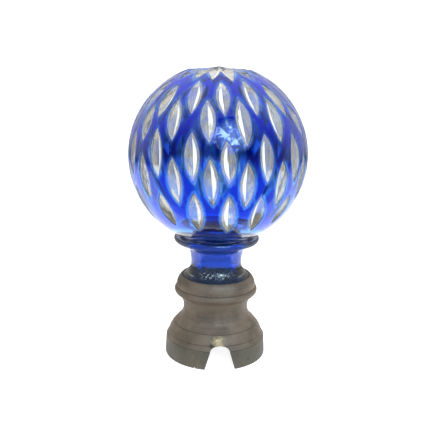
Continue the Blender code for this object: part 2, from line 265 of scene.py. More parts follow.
class Finishes(PropertyGroup):
    """Colours of the glass, the brass and the floor."""

    casing_low: tint("Casing, lower", "Casing low on the ball", (0.0004, 0.028, 0.60))
    casing_high: tint("Casing, upper", "Casing high on the ball", (0.0005, 0.016, 0.76))
    lining: tint("Lining", "Lining in the neck", (0.03, 0.20, 0.84))
    throat: tint("Throat", "Lining where it opens into the ball", (0.0006, 0.008, 0.16))
    # Painted shade: the collar's rim is tinted dark, most at its left and right ends
    painted_collar_shade: tint("Collar rim shade", "Painted shade in the thick glass of the collar's rim", (0.09, 0.095, 0.085))
    veil: tint("Ground veil", "Bloom on the cuts", (0.50, 0.41, 0.27))
    # Painted highlight and painted shade on the cuts' flanks, and painted glints on the foot
    painted_highlight: tint("Bright veil", "Painted highlight beside their creases", (0.95, 0.93, 0.88))
    painted_flank_shade: tint("Dim veil", "Painted shade on flanks that face inwards", (0.15, 0.15, 0.18))
    veil_deep: tint("Deep veil", "Dark streaks in the cuts", (0.15, 0.13, 0.08))
    limb: tint("Limb", "Sheen at a glancing angle", (0.13, 0.13, 0.13))
    # Painted halo of light round the cuts
    worn_casing: tint("Azure halo", "Painted azure glow round the cuts", (0.10, 0.42, 1.0))
    # Painted shade: a dark olive matt share on the collar's rim
    painted_rim_shade: tint("Dark collar", "Painted olive shade of the collar's rim", (0.05, 0.052, 0.04))
    neck_soft: tint("Soft neck", "Skin of the neck", (0.05, 0.14, 0.80))
    # Painted shade on the foot, with lighter specks
    painted_foot_shade: tint("Dark foot", "Painted shade on the foot", (0.012, 0.018, 0.035))
    foot_speck: tint("Foot specks", "Specks in that painted shade", (0.11, 0.135, 0.17))
    clear: tint("Clear glass", "Tint of the clear glass", (0.96, 0.965, 0.95))
    brass: tint("Brass", "Aged brass", (0.168, 0.126, 0.094))
    brass_dark: tint("Dark patina", "Patina in the hollows", (0.092, 0.072, 0.054))
    brass_green: tint("Green patina", "Patina of the lower band", (0.088, 0.085, 0.065))
    brass_bare: tint("Bare brass", "Brass where it is rubbed bare", (0.64, 0.48, 0.25))
    pit: tint("Pits", "Dirt in the turned lines and pits", (0.035, 0.028, 0.02))
    floor: tint("Floor", "Pale floor", (0.45, 0.45, 0.45))


class StageSizes(PropertyGroup):
    """The camera's place and the strength of the lights."""

    camera_side: metres("Camera side", "Camera's place across", -0.0006)
    camera_back: metres("Camera distance", "Camera's distance", 0.45)
    camera_height: metres("Camera height", "Height of the camera", 0.204)
    camera_pitch: degrees("Camera pitch", "How far it looks down", 14.176)
    camera_roll: degrees("Camera roll", "Turn round its own axis", 0.955)
    camera_lens: FloatProperty(name="Lens", description="Focal length in millimetres", default=61.57)
    glow_strength: FloatProperty(name="Window glow", description="Strength of the window", default=24.0)
    front_power: FloatProperty(name="Front light", description="Power of the light ahead", default=5.5, min=0)
    top_power: FloatProperty(name="Top light", description="Power of the light overhead", default=30.0, min=0)


class Signal:
    """An output socket, wrapped so that sums on it read as plain expressions."""

    def __init__(self, recipe, socket):
        self.recipe = recipe
        self.socket = socket

    def _math(self, operation, first, second):
        return self.recipe.node("ShaderNodeMath", {"operation": operation}, {0: first, 1: second})

    def __add__(self, other):
        return self._math("ADD", self, other)

    def __radd__(self, other):
        return self._math("ADD", other, self)

    def __sub__(self, other):
        return self._math("SUBTRACT", self, other)

    def __rsub__(self, other):
        return self._math("SUBTRACT", other, self)

    def __mul__(self, other):
        return self._math("MULTIPLY", self, other)

    def __rmul__(self, other):
        return self._math("MULTIPLY", other, self)

    def __truediv__(self, other):
        return self._math("DIVIDE", self, other)

    def __pow__(self, other):
        return self._math("POWER", self, other)

    def __abs__(self):
        return self._math("ABSOLUTE", self, 0.0)

    def larger(self, other):
        return self._math("MAXIMUM", self, other)


class Recipe:
    """Makes the nodes of one material or of the world."""

    def __init__(self, tree):
        self.tree = tree

    def node(self, kind, settings=None, sockets=None, output=0):
        """Adds a node with its settings and its sockets, and gives one of its outputs."""
        made = self.tree.nodes.new(kind)
        for key, value in (settings or {}).items():
            if key == "stops":
                self._set_stops(made.color_ramp, value)
            else:
                setattr(made, key, value)
        for key, value in (sockets or {}).items():
            self.feed(made.inputs[key], value)
        return Signal(self, made.outputs[output])

    def _set_stops(self, ramp, stops):
        while len(ramp.elements) < len(stops):
            ramp.elements.new(1.0)
        for element, (position, *colour) in zip(ramp.elements, stops):
            element.position = position
            element.color = (*colour, 1.0)

    def feed(self, socket, value):
        if isinstance(value, Signal):
            self.tree.links.new(value.socket, socket)
        elif socket.type == "RGBA":
            socket.default_value = (*value, 1.0)
        else:
            socket.default_value = value

    def dress(self, shader, values):
        """Feeds the named inputs of a shader."""
        for key, value in values.items():
            self.feed(shader.inputs[key], value)

    def place(self):
        """The point in the object's own metres, as a vector."""
        return self.node("ShaderNodeTexCoord", output="Object")

    def axes(self, vector):
        split = self.node("ShaderNodeSeparateXYZ", sockets={0: vector})
        outputs = split.socket.node.outputs
        return tuple(Signal(self, outputs[i]) for i in range(3))

    def vector(self, operation, first, second):
        return self.node("ShaderNodeVectorMath", {"operation": operation}, {0: first, 1: second})

    def length(self, vector):
        return self.node("ShaderNodeVectorMath", {"operation": "LENGTH"}, {0: vector}, "Value")

    def span(self, value, start, end):
        """0 at start, 1 at end and a smooth rise between them."""
        limits = {"Value": value, "From Min": start, "From Max": end}
        return self.node("ShaderNodeMapRange", {"interpolation_type": "SMOOTHSTEP"}, limits)

    def ring(self, value, middle, width):
        """1 at middle, falling smoothly to 0 at that width to either side."""
        rise = self.span(value, middle - width, middle)
        return rise * self.span(value, middle + width, middle)

    def noise(self, scale, detail=3.0, roughness=0.5, stretch=(1.0, 1.0, 1.0), distortion=0.0):
        vector = self.vector("MULTIPLY", self.place(), stretch)
        sockets = {"Vector": vector, "Scale": scale, "Detail": detail, "Roughness": roughness}
        return self.node("ShaderNodeTexNoise", sockets={**sockets, "Distortion": distortion})

    def mix(self, factor, first, second, blend="MIX"):
        """Two colours mixed by a signal."""
        settings = {"data_type": "RGBA", "blend_type": blend}
        return self.node("ShaderNodeMix", settings, {0: factor, 6: first, 7: second}, 2)

    def ramp(self, factor, stops):
        return self.node("ShaderNodeValToRGB", {"stops": stops}, {0: factor})

    def bump(self, height, strength, distance):
        sockets = {"Height": height, "Strength": strength, "Distance": distance}
        return self.node("ShaderNodeBump", sockets=sockets)


def new_material(name):
    """A material with its recipe and its Principled shader."""
    material = bpy.data.materials.new(name)
    material.use_nodes = True
    shader = material.node_tree.nodes["Principled BSDF"]
    return material, Recipe(material.node_tree), shader


def new_mesh(name, vertices, faces):
    mesh = bpy.data.meshes.new(name)
    mesh.from_pydata(vertices, (), faces)
    mesh.update()
    return mesh


def smooth(mesh):
    for face in mesh.polygons:
        face.use_smooth = True


def face_outwards(mesh):
    """Turns every face over if the volume that they close comes out negative."""
    mesh.calc_loop_triangles()
    corners = [[mesh.vertices[i].co for i in triangle.vertices] for triangle in mesh.loop_triangles]
    if sum(a.cross(b).dot(c) for a, b, c in corners) < 0:
        mesh.flip_normals()


def link_object(name, mesh):
    obj = bpy.data.objects.new(name, mesh)
    bpy.context.scene.collection.objects.link(obj)
    return obj


def cutter(name, vertices, faces):
    """A closed object that carve takes out of another."""
    mesh = new_mesh(name, vertices, faces)
    face_outwards(mesh)
    return link_object(name, mesh)


def bow(start, end, rise, count):
    """Points after start, up to end, of an arc that stands rise off its chord, outwards if positive."""
    chord = Vector(end) - Vector(start)
    along = chord.normalized()
    outward = Vector((-along.y, along.x)) * (1 if rise > 0 else -1)
    half_angle = 2 * math.atan(2 * abs(rise) / chord.length)
    radius = chord.length / 2 / math.sin(half_angle)
    centre = (Vector(start) + Vector(end)) / 2 - outward * radius * math.cos(half_angle)
    found = []
    for i in range(1, count + 1):
        angle = half_angle * (2 * i / count - 1)
        point = centre + radius * (math.sin(angle) * along + math.cos(angle) * outward)
        found.append((point.x, point.y))
    return found


def eased(profile, ease):
    """The profile with each sharp corner rounded, by less beside a short side."""
    found = [profile[0]]
    for before, corner, after in zip(profile, profile[1:], profile[2:]):
        into = Vector(corner) - Vector(before)
        away = Vector(after) - Vector(corner)
        if into.angle(away) < math.radians(14):
            found.append(corner)
            continue
        start = Vector(corner) - into.normalized() * min(ease, into.length * 0.45)
        end = Vector(corner) + away.normalized() * min(ease, away.length * 0.45)
        for t in (0.0, 0.25, 0.5, 0.75, 1.0):
            point = start * (1 - t) ** 2 + Vector(corner) * 2 * t * (1 - t) + end * t * t
            found.append((point.x, point.y))
    found.append(profile[-1])
    return found


def turned(name, profile, steps):
    """A mesh turned round Z from (r, z) points, where one on the axis becomes a pole."""
    vertices = []
    rings = []
    for r, z in profile:
        count = 1 if r < ON_AXIS else steps
        rings.append([len(vertices) + i for i in range(count)])
        for i in range(count):
            angle = 2 * math.pi * i / steps
            vertices.append((r * math.cos(angle), r * math.sin(angle), z))
    faces = []
    for upper, lower in zip(rings, rings[1:]):
        for i in range(steps):
            j = (i + 1) % steps
            corners = [ring[k % len(ring)] for ring, k in ((upper, i), (lower, i), (lower, j), (upper, j))]
            faces.append(tuple(dict.fromkeys(corners)))
    return new_mesh(name, vertices, faces)


def carve(name, mesh, cutters):
    """An object of the mesh less its cutters, which are then removed."""
    obj = link_object(name, mesh)
    for tool in cutters:
        boolean = obj.modifiers.new(tool.name, "BOOLEAN")
        boolean.operation = "DIFFERENCE"
        boolean.solver = "MANIFOLD"
        boolean.object = tool
    graph = bpy.context.evaluated_depsgraph_get()
    carved = bpy.data.meshes.new_from_object(obj.evaluated_get(graph))
    obj.modifiers.clear()
    obj.data = carved
    carved.name = name
    carved.materials.clear()
    for tool in cutters:
        bpy.data.meshes.remove(tool.data)
    if len(carved.polygons) == len(mesh.polygons):
        raise RuntimeError(name + " wasn't cut")
    return obj


def join_radius(sizes):
    """Radius at which the ball meets the top of its collar."""
    return sizes.neck_radius + NECK_TOP_FLARE + BALL_JOIN_FLARE


def ball_centre(sizes):
    join_z = BASE_HIGH_Z + COLLAR_RISE - COLLAR_FALL
    return Vector((0.0, 0.0, join_z + math.sqrt(sizes.ball_radius**2 - join_radius(sizes) ** 2)))


def towards(azimuth, latitude):
    """Unit vector at an azimuth from the front (-Y) towards +X and a latitude, both in degrees."""
    turn = math.radians(azimuth)
    rise = math.radians(latitude)
    return Vector((math.sin(turn) * math.cos(rise), -math.cos(turn) * math.cos(rise), math.sin(rise)))


class WheelCut:
    """One V cut of a wheel into the ball, from the directions of its two tips and its width."""

    def __init__(self, low_tip, high_tip, width, half_angle, sizes):
        radius = sizes.ball_radius
        self.ball = radius
        self.centre = ball_centre(sizes)
        self.out = (low_tip + high_tip).normalized()
        self.along = (high_tip - low_tip).normalized()
        self.side = self.out.cross(self.along)
        self.slope = math.tan(half_angle)
        drop = radius - math.sqrt(radius * radius - width * width / 4)
        depth = width / 2 / self.slope + drop
        left = radius - depth
        reach = radius * math.cos(low_tip.angle(high_tip) / 2)
        self.wheel = (2 * left * reach - left * left - radius * radius) / (2 * (left - reach))
        self.hub_height = radius + self.wheel - depth
        self.hub = self.centre + self.out * self.hub_height

    def split(self, point):
        """How far a point lies to the side of the wheel's middle plane, and its place in that plane."""
        from_hub = point - self.hub
        side = from_hub.dot(self.side)
        return side, from_hub - self.side * side

    def outside(self, point):
        """How far a point lies outside the cut's flanks, across the cut."""
        side, flat = self.split(point)
        return abs(side) - (self.wheel - flat.length) * self.slope

    def normal(self, point, sign):
        flat = self.split(point)[1]
        return -(self.side * sign + flat.normalized() * self.slope).normalized()

    def wedge(self, vertices, faces):
        """Adds the boat-shaped wedge that the wheel sweeps inside a sphere just outside the ball."""
        end = self.ball + CUTTER_RISE
        cosine = (self.hub_height**2 + self.wheel**2 - end**2) / (2 * self.hub_height * self.wheel)
        end_angle = math.acos(cosine)
        first = len(vertices)
        vertices.append(tuple(self.crease(-end_angle)))
        for i in range(1, CUTTER_STATIONS + 1):
            angle = end_angle * (2 * i / (CUTTER_STATIONS + 1) - 1)
            crease = self.crease(angle)
            inward = (self.out * math.cos(angle) - self.along * math.sin(angle)).normalized()
            start = crease - self.centre
            middle = start.dot(inward)
            rise = math.sqrt(max(0.0, middle * middle - start.length_squared + end * end)) - middle
            lid = crease + inward * rise
            spread = self.side * rise * self.slope
            vertices += [tuple(crease), tuple(lid - spread), tuple(lid + spread)]
        vertices.append(tuple(self.crease(end_angle)))
        last = len(vertices) - 1
        faces += [(first, first + b, first + a) for a, b in ((1, 2), (3, 1), (2, 3))]
        for low in range(first + 1, last - 3, 3):
            faces += [(low, low + 1, low + 4, low + 3), (low, low + 3, low + 5, low + 2)]
            faces.append((low + 1, low + 2, low + 5, low + 4))
        faces += [(last, last - a, last - b) for a, b in ((3, 2), (1, 3), (2, 1))]

    def crease(self, angle):
        return self.hub + self.wheel * (math.sin(angle) * self.along - math.cos(angle) * self.out)


def row_cuts(row, sizes):
    """The cuts of one row: those at the front as the hand left them, the rest a little off true."""
    name, columns, bottom, top, width = row
    pitch = 360 / sizes.cuts_per_row
    hand = random.Random(HAND_SEED + CUT_ROWS.index(row))
    cuts = []
    for i in range(-sizes.cuts_per_row // 2, sizes.cuts_per_row // 2):
        azimuth = FRONT_AZIMUTH + pitch * (i + columns)
        lean = hand.uniform(-HAND_TURN, HAND_TURN)
        shift = hand.uniform(-HAND_SHIFT, HAND_SHIFT)
        stretch = hand.uniform(-HAND_SHIFT, HAND_SHIFT) / 2
        if top > 80:
            shift = 0.0
        tips = (azimuth - lean, bottom + shift - stretch, azimuth + lean, top + shift)
        tips = HAND_CUTS[name].get(i, tips)
        half_angle = sizes.crown_wheel_angle if name == "crown" else sizes.wheel_angle
        cuts.append(WheelCut(towards(*tips[:2]), towards(*tips[2:]), width, half_angle, sizes))
    return cuts


def row_cutter(name, cuts):
    vertices = []
    faces = []
    for cut in cuts:
        cut.wedge(vertices, faces)
    return cutter(name, vertices, faces)


def arc_of_ball(sizes, radius, top, bottom, count):
    """Points down a sphere round the ball's centre from one latitude to another."""
    centre = ball_centre(sizes).z
    angles = [math.radians(top + (bottom - top) * i / count) for i in range(count + 1)]
    return [(max(0.0, radius * math.cos(angle)), centre + radius * math.sin(angle)) for angle in angles]


def glass_profile(sizes):
    """The glass's section, down its outer side and up its bore and hollow."""
    join = -math.degrees(math.acos(join_radius(sizes) / sizes.ball_radius))
    collar_top = BASE_HIGH_Z + COLLAR_RISE
    nose_top = (sizes.collar_radius - COLLAR_NOSE, collar_top)
    nose_foot = (sizes.collar_radius - COLLAR_NOSE, collar_top - COLLAR_THICKNESS)
    neck_top = (sizes.neck_radius + NECK_TOP_FLARE, BASE_HIGH_Z + NECK_TOP_RISE)
    waist = (sizes.neck_radius, BASE_HIGH_Z + NECK_WAIST_RISE)
    foot = (sizes.foot_radius, BASE_HIGH_Z)
    profile = arc_of_ball(sizes, sizes.ball_radius, 90.0, join, BALL_RINGS)
    profile[0] = (0.0, profile[0][1])
    profile += bow(profile[-1], nose_top, -COLLAR_DISH, 8)
    profile += bow(nose_top, nose_foot, COLLAR_NOSE, 14)
    profile += bow(nose_foot, neck_top, -COLLAR_UNDER_BOW, 12)
    profile += bow(neck_top, waist, -NECK_BOW, 8)
    profile += bow(waist, foot, -FOOT_FLARE_BOW, 14)
    profile += [(sizes.foot_radius, GLASS_FOOT_Z + EDGE_EASE), (sizes.foot_radius - EDGE_EASE, GLASS_FOOT_Z)]
    profile += [(sizes.bore_radius + EDGE_EASE, GLASS_FOOT_Z), (sizes.bore_radius, GLASS_FOOT_Z + EDGE_EASE)]
    hollow = sizes.ball_radius - sizes.ball_wall
    throat = -math.degrees(math.acos((sizes.bore_radius + THROAT_FLARE) / hollow))
    inside = arc_of_ball(sizes, hollow, 90.0, throat, HOLLOW_RINGS)
    inside[0] = (0.0, inside[0][1])
    inside += bore_line(sizes)[1:-1]
    return profile + inside[::-1]


def bore_line(sizes):
    """The throat and the bore, from the hollow's edge down to the foot."""
    radius = sizes.bore_radius + THROAT_FLARE
    hollow = sizes.ball_radius - sizes.ball_wall
    top = (radius, ball_centre(sizes).z - math.sqrt(hollow * hollow - radius * radius))
    bore_top = (sizes.bore_radius, top[1] - THROAT_LENGTH)
    return [top, *bow(top, bore_top, -THROAT_BOW, 8), (sizes.bore_radius, GLASS_FOOT_Z)]


def beside(line, distance):
    """The line of (r, z) points moved outwards, across its own direction."""
    found = []
    for i, point in enumerate(line):
        along = (Vector(line[min(i + 1, len(line) - 1)]) - Vector(line[max(i - 1, 0)])).normalized()
        moved = Vector(point) + Vector((-along.y, along.x)) * distance
        found.append((moved.x, moved.y))
    return found


def lining_profile(sizes):
    """The closed section of the thin blue layer just outside the bore."""
    line = bore_line(sizes)
    line = line[:-1] + [(line[-1][0], GLASS_FOOT_Z + LINING_DEPTH)]
    outer = beside(line, LINING_DEPTH + LINING_THICKNESS)
    inner = beside(line, LINING_DEPTH)
    return outer + inner[::-1] + outer[:1]


def set_glass_normals(mesh, cuts, sizes):
    """Gives the ball, its hollow and its cuts the normals of their true surfaces."""
    centre = ball_centre(sizes)
    inside = sizes.ball_radius - sizes.ball_wall
    floor = bore_line(sizes)[0][1]
    normals = [(0.0, 0.0, 0.0)] * len(mesh.loops)
    for face in mesh.polygons:
        radial = (face.center - centre).normalized()
        facing = face.normal.dot(radial)
        out = (face.center - centre).length
        points = [mesh.vertices[i].co for i in face.vertices]
        if face.center.z < floor or (facing > 0.99 and out < inside + 2 * SHELL_GAP):
            continue
        if facing > SKIN_FACING:
            found = [(point - centre).normalized() for point in points]
        elif facing < -HOLLOW_FACING and out < inside + SHELL_GAP:
            found = [(centre - point).normalized() for point in points]
        elif out > inside + SHELL_GAP and facing > FLANK_FACING:
            near = [cut for cut in cuts if cut.out.dot(radial) > NEAR_CUT]
            if not near:
                continue
            cut = min(near, key=lambda one: sum(abs(one.outside(point)) for point in points))
            sign = 1 if cut.split(face.center)[0] > 0 else -1
            found = [cut.normal(point, sign) for point in points]
        else:
            continue
        for loop, normal in zip(face.loop_indices, found):
            normals[loop] = tuple(normal)
    mesh.normals_split_custom_set(normals)


def set_cut_distance(mesh, cuts, sizes):
    """Stores how far each vertex of the ball's skin lies outside the nearest cut."""
    centre = ball_centre(sizes)
    values = [FAR_FROM_CUTS] * len(mesh.vertices)
    for vertex in mesh.vertices:
        out = vertex.co - centre
        if abs(out.length - sizes.ball_radius) > ON_SKIN:
            continue
        radial = out.normalized()
        for cut in cuts:
            if cut.out.dot(radial) > NEAR_CUT:
                values[vertex.index] = min(values[vertex.index], max(0.0, cut.outside(vertex.co)))
    layer = mesh.attributes.new(CUT_DISTANCE, "FLOAT", "POINT")
    layer.data.foreach_set("value", values)


def layered_stops(blue):
    """Ramp stops of a blue by depth in the layer, where a paler one lies under the skin's."""
    shares = ((0.0, 0.0), (0.08, 0.42), (0.3, 0.58), (0.86, 0.74), (0.97, 1.0))
    return [(depth, *(channel**share for channel in blue)) for depth, share in shares]


def glass_places(recipe, sizes):
    """Where a point of the glass lies, how ground it is, and where the painted halo round the cuts and the
    painted shade in the collar's rim fall.
    """
    centre = ball_centre(sizes)
    place = recipe.place()
    at = SimpleNamespace()
    noise, span = recipe.noise, recipe.span
    at.x, at.y, at.z = recipe.axes(place)
    at.depth = sizes.ball_radius - recipe.length(recipe.vector("SUBTRACT", place, tuple(centre)))
    at.height = (at.z - centre.z) / sizes.ball_radius
    at.rise = at.z - BASE_HIGH_Z
    at.from_axis = recipe.length(recipe.vector("MULTIPLY", place, (1, 1, 0)))
    distance = recipe.node("ShaderNodeAttribute", {"attribute_name": CUT_DISTANCE}, output="Fac")
    # Painted halo: a ring round each cut, by its distance from the cut
    ragged = noise(220.0, 2.0) * 0.0009 - 0.00045
    at.worn = span(distance + ragged, HALO_RING, HALO_RING * 0.2)
    at.ground = span(at.depth, 0.0001, 0.0005) * span(at.depth, sizes.ball_wall - 0.0004, 0.0045)
    edge = sizes.neck_radius + 0.0035
    at.collar = recipe.ring(at.rise, COLLAR_RISE - COLLAR_THICKNESS / 2, 0.004)
    at.collar = at.collar * span(at.from_axis, edge, edge + 0.002)
    # Painted shade: mask of the collar's rim, strongest at its left and right ends
    at.painted_collar_shade = at.collar * (0.08 + 0.92 * span(abs(at.x), 0.011, 0.02))
    return at


def casing_colour(recipe, at, sizes, finishes):
    """The casing's blue, thinned round each cut as a painted halo, gone at its hem, and tinted as painted
    shade in the collar's rim.
    """
    layer = {"Value": at.depth, "From Min": sizes.casing, "From Max": CASING_SKIN}
    # Painted halo: the casing is thinned round each cut so that it shows a paler blue
    skin = recipe.node("ShaderNodeMapRange", sockets=layer) * (1.0 - 0.88 * at.worn)
    hem = at.height + recipe.noise(60.0, 2.0) * 0.03 + at.y * (HEM_TILT / sizes.ball_radius)
    skin = skin * recipe.span(hem, *HEM_HEIGHTS)
    low = recipe.ramp(skin, layered_stops(finishes.casing_low))
    high = recipe.ramp(skin, layered_stops(finishes.casing_high))
    casing = recipe.mix(recipe.span(at.height, -0.45, 0.35), low, high)
    return recipe.mix(at.painted_collar_shade, recipe.mix(1.0, casing, finishes.clear, "MULTIPLY"), finishes.painted_collar_shade)


def cut_veil(recipe, at, streaks, sizes, finishes):
    """Colour and share of the bloom on the cuts, painted bright on flanks that face the sides and dim on the
    others, and of the painted azure halo round them.
    """
    mix, span = recipe.mix, recipe.span
    # Painted light: flanks that face out to the sides are painted bright, brightest beside the crease, and
    # the others in dim shade
    facing = recipe.axes(recipe.node("ShaderNodeTexCoord", output="Normal"))[0]
    lean = (facing - at.x / sizes.ball_radius) * at.x / (abs(at.x) + 0.0008)
    outward = span(lean, 0.0, 0.1)
    inward = span(lean, -0.05, -0.25)
    crease = span(at.depth - streaks * 0.0008, 0.0008, 0.0013)
    bright = mix(crease, finishes.veil, finishes.painted_highlight)
    colour = mix(outward, mix(streaks, finishes.painted_flank_shade, finishes.veil), bright)
    colour = mix(0.75 * span(streaks, 0.54, 0.7), colour, finishes.veil_deep)
    # Painted halo: an azure matt share round each cut, stronger low on the ball
    colour = mix(at.worn * (1.0 - at.ground), colour, finishes.worn_casing)
    share = 0.3 + 0.16 * outward * span(streaks, 0.2, 0.7)
    share = share + 0.12 * inward + 0.36 * outward * crease
    share = share * at.ground * span(at.height, 1.15, 0.7)
    return colour, share.larger(at.worn * (0.02 + 0.2 * span(at.height, 0.4, -0.5)))


def neck_veil(recipe, at, sizes, finishes):
    """Where the skin below the ball lies, and the colour and share of its matt blue, of the painted shade on
    its foot, darker towards the lip, with specks and painted glints, and of the painted shade in the collar's
    rim.
    """
    mix, noise, ring, span = recipe.mix, recipe.noise, recipe.ring, recipe.span
    outside = span(at.from_axis, sizes.neck_radius - 0.002, sizes.neck_radius - 0.001)
    skin = span(at.rise, COLLAR_RISE + 0.0006, COLLAR_RISE) * outside
    # Painted shade: the foot is veiled dark
    foot = span(at.rise + noise(300.0, 3.0) * 0.003, 0.0125, 0.009)
    # Darker towards the lip
    lip_darkening = span(at.rise + noise(500.0, 2.0) * 0.003, 0.0048, 0.0022)
    # Painted glints low in the middle of the foot
    glints = span(noise(1100.0, 2.0, 0.7), 0.56, 0.66) * ring(at.rise, 0.004, 0.0026)
    glints = glints * span(abs(at.x), 0.013, 0.003)
    specks = span(noise(1000.0, 3.0, 0.7), 0.53, 0.63)
    below_colour = mix(specks, finishes.painted_foot_shade, finishes.foot_speck)
    below_colour = mix(lip_darkening, below_colour, finishes.painted_foot_shade)
    below_colour = mix(glints, below_colour, finishes.painted_highlight)
    colour = mix(foot, finishes.neck_soft, below_colour)
    # Painted shade: the collar's rim takes a dark olive matt share, more at its ends
    ends = span(abs(at.x), 0.011, 0.019)
    share = 0.06 + 0.18 * span(at.rise, NECK_TOP_RISE + 0.004, NECK_TOP_RISE + 0.001)
    share = share + foot * (0.44 - ends * 0.64) + at.collar * (0.16 + ends * 0.34)
    return skin, mix(at.painted_collar_shade, colour, finishes.painted_rim_shade), share + lip_darkening * 0.35 + glints * 0.25


def glass_material(sizes, finishes):
    """Clear glass under a blue casing, veiled where it is ground or dusty, with painted highlights, shade and
    halo on and round the cuts, painted shade on the foot and the collar's rim, and a painted sheen at the
    ball's edge.
    """
    material, recipe, shader = new_material("cased_glass")
    at = glass_places(recipe, sizes)
    streaks = recipe.noise(420.0, 3.0, 0.6, (1.0, 1.0, 0.12))
    chatter = recipe.noise(2000.0, 1.0, 0.5, (0.15, 0.15, 1.0))
    relief = (chatter * 0.35 + streaks * 0.5) * at.ground + recipe.noise(45.0, 2.0) * 0.3
    matt, share = cut_veil(recipe, at, streaks, sizes, finishes)
    below, below_colour, below_share = neck_veil(recipe, at, sizes, finishes)
    matt = recipe.mix(below, matt, below_colour)
    # Painted sheen: a grey matt share at the ball's glancing edge, on its upper part
    grazing = recipe.node("ShaderNodeLayerWeight", sockets={"Blend": 0.5}, output="Facing")
    limb = recipe.span(grazing, 0.84, 0.97) * recipe.span(at.depth, 0.0009, 0.0006)
    limb = limb * recipe.span(at.height, -0.6, 0.3)
    dust = recipe.span(recipe.noise(900.0, 1.0), 0.79, 0.83)
    share = share.larger(limb * 0.55).larger(0.6 * dust) + below * below_share
    veil = recipe.node("ShaderNodeBsdfPrincipled")
    matt = recipe.mix(limb, matt, finishes.limb)
    recipe.dress(veil.socket.node, {"Base Color": matt, "Roughness": 0.6, "Specular IOR Level": 0.2})
    clear = Signal(recipe, shader.outputs[0])
    blend = recipe.node("ShaderNodeMixShader", sockets={0: share, 1: clear, 2: veil})
    recipe.feed(material.node_tree.nodes["Material Output"].inputs["Surface"], blend)
    recipe.dress(shader, {"Roughness": 0.0, "IOR": GLASS_IOR, "Transmission Weight": 1.0})
    recipe.dress(shader, {"Base Color": casing_colour(recipe, at, sizes, finishes)})
    recipe.dress(shader, {"Normal": recipe.bump(relief, 0.4, 0.0006)})
    return material


def lining_material(finishes):
    """Blue glass within the clear glass, so it tints what passes and bends nothing."""
    material, recipe, shader = new_material("blue_lining")
    streaks = recipe.noise(90.0, 2.0, 0.5, (1.0, 1.0, 0.3))
    neck = recipe.mix(streaks, finishes.lining, tuple(channel**0.8 for channel in finishes.lining))
    rise = recipe.axes(recipe.place())[2] - BASE_HIGH_Z
    blue = recipe.mix(recipe.span(rise, NECK_TOP_RISE, NECK_TOP_RISE + 0.003), neck, finishes.throat)
    end = recipe.span(rise, COLLAR_RISE + 0.0015, COLLAR_RISE + 0.0035)
    recipe.dress(shader, {"Base Color": recipe.mix(end, blue, WHITE)})
    recipe.dress(shader, {"Roughness": 0.0, "IOR": 1.0, "Transmission Weight": 1.0})
    return material


def spot(x, z, place):
    """Distance from a place on the front of the base."""
    across = x - place[0]
    up = z - place[1]
    return (across * across + up * up) ** 0.5


def brass_material(finishes):
    """Patinated brass, browner above, greener on the lower band, rubbed bare round the notch."""
    material, recipe, shader = new_material("patinated_brass")
    mix, noise, ring, span = recipe.mix, recipe.noise, recipe.ring, recipe.span
    x, y, z = recipe.axes(recipe.place())
    front = span(y, 0.0, -0.01)
    cloud = noise(70.0, 6.0, 0.6)
    speck = noise(900.0, 2.0, 0.6)
    turning = noise(60.0, 4.0, 0.7, (0.4, 0.4, 22.0))
    mottle = span(cloud, 0.35, 0.68) * 0.8 + span(turning, 0.38, 0.64) * 0.2
    colour = mix(mottle * 0.9, finishes.brass, finishes.brass_dark)
    green = span(z, BELL_FOOT_Z, BAND_HEIGHT - 0.003)
    colour = mix(green * 0.7, colour, finishes.brass_green)
    under_bead = ring(z + cloud * 0.002, BEAD_FOOT_Z - 0.0012, 0.0022)
    filed = span(noise(2600.0, 1.0, 0.5, (1.0, 1.0, 0.03)), 0.52, 0.64) * front
    filed = filed * span(z, BAND_HEIGHT * 0.85, BAND_HEIGHT * 0.6) * ring(x, -0.011, 0.008)
    ragged = cloud * 0.004 + noise(330.0, 4.0, 0.7) * 0.008
    rubbed = span(spot(x, z, RUBBED_PLACE) + ragged, 0.0104, 0.0062) * front
    rubbed = rubbed * (0.25 + 0.6 * span(speck, 0.35, 0.6))
    for bare in (span(speck, 0.62, 0.72) * 0.08, under_bead * 0.16 * mottle, filed * 0.13, rubbed):
        colour = mix(bare, colour, finishes.brass_bare)
    grooves = ring(z, TURNED_LINES[0], TURNED_LINE_WIDTH)
    for height in TURNED_LINES[1:]:
        grooves = grooves.larger(ring(z, height, TURNED_LINE_WIDTH))
    pit = span(spot(x, z, PIT_PLACE) + speck * 0.0008, 0.0019, 0.0010)
    marks = pit.larger(span(spot(x, z, MARK_PLACE), 0.0007, 0.0003)) * front
    colour = mix((grooves * 0.6).larger(marks * 0.9), colour, finishes.pit)
    relief = turning * 0.8 + speck * 0.3 + cloud * 0.5 + filed * 1.2 - grooves * 0.8
    recipe.dress(shader, {"Base Color": colour, "Roughness": 0.42 + mottle * 0.16 + speck * 0.08})
    recipe.dress(shader, {"Metallic": 0.35, "Specular IOR Level": 0.15})
    recipe.dress(shader, {"Normal": recipe.bump(relief, 0.5, 0.00025)})
    return material


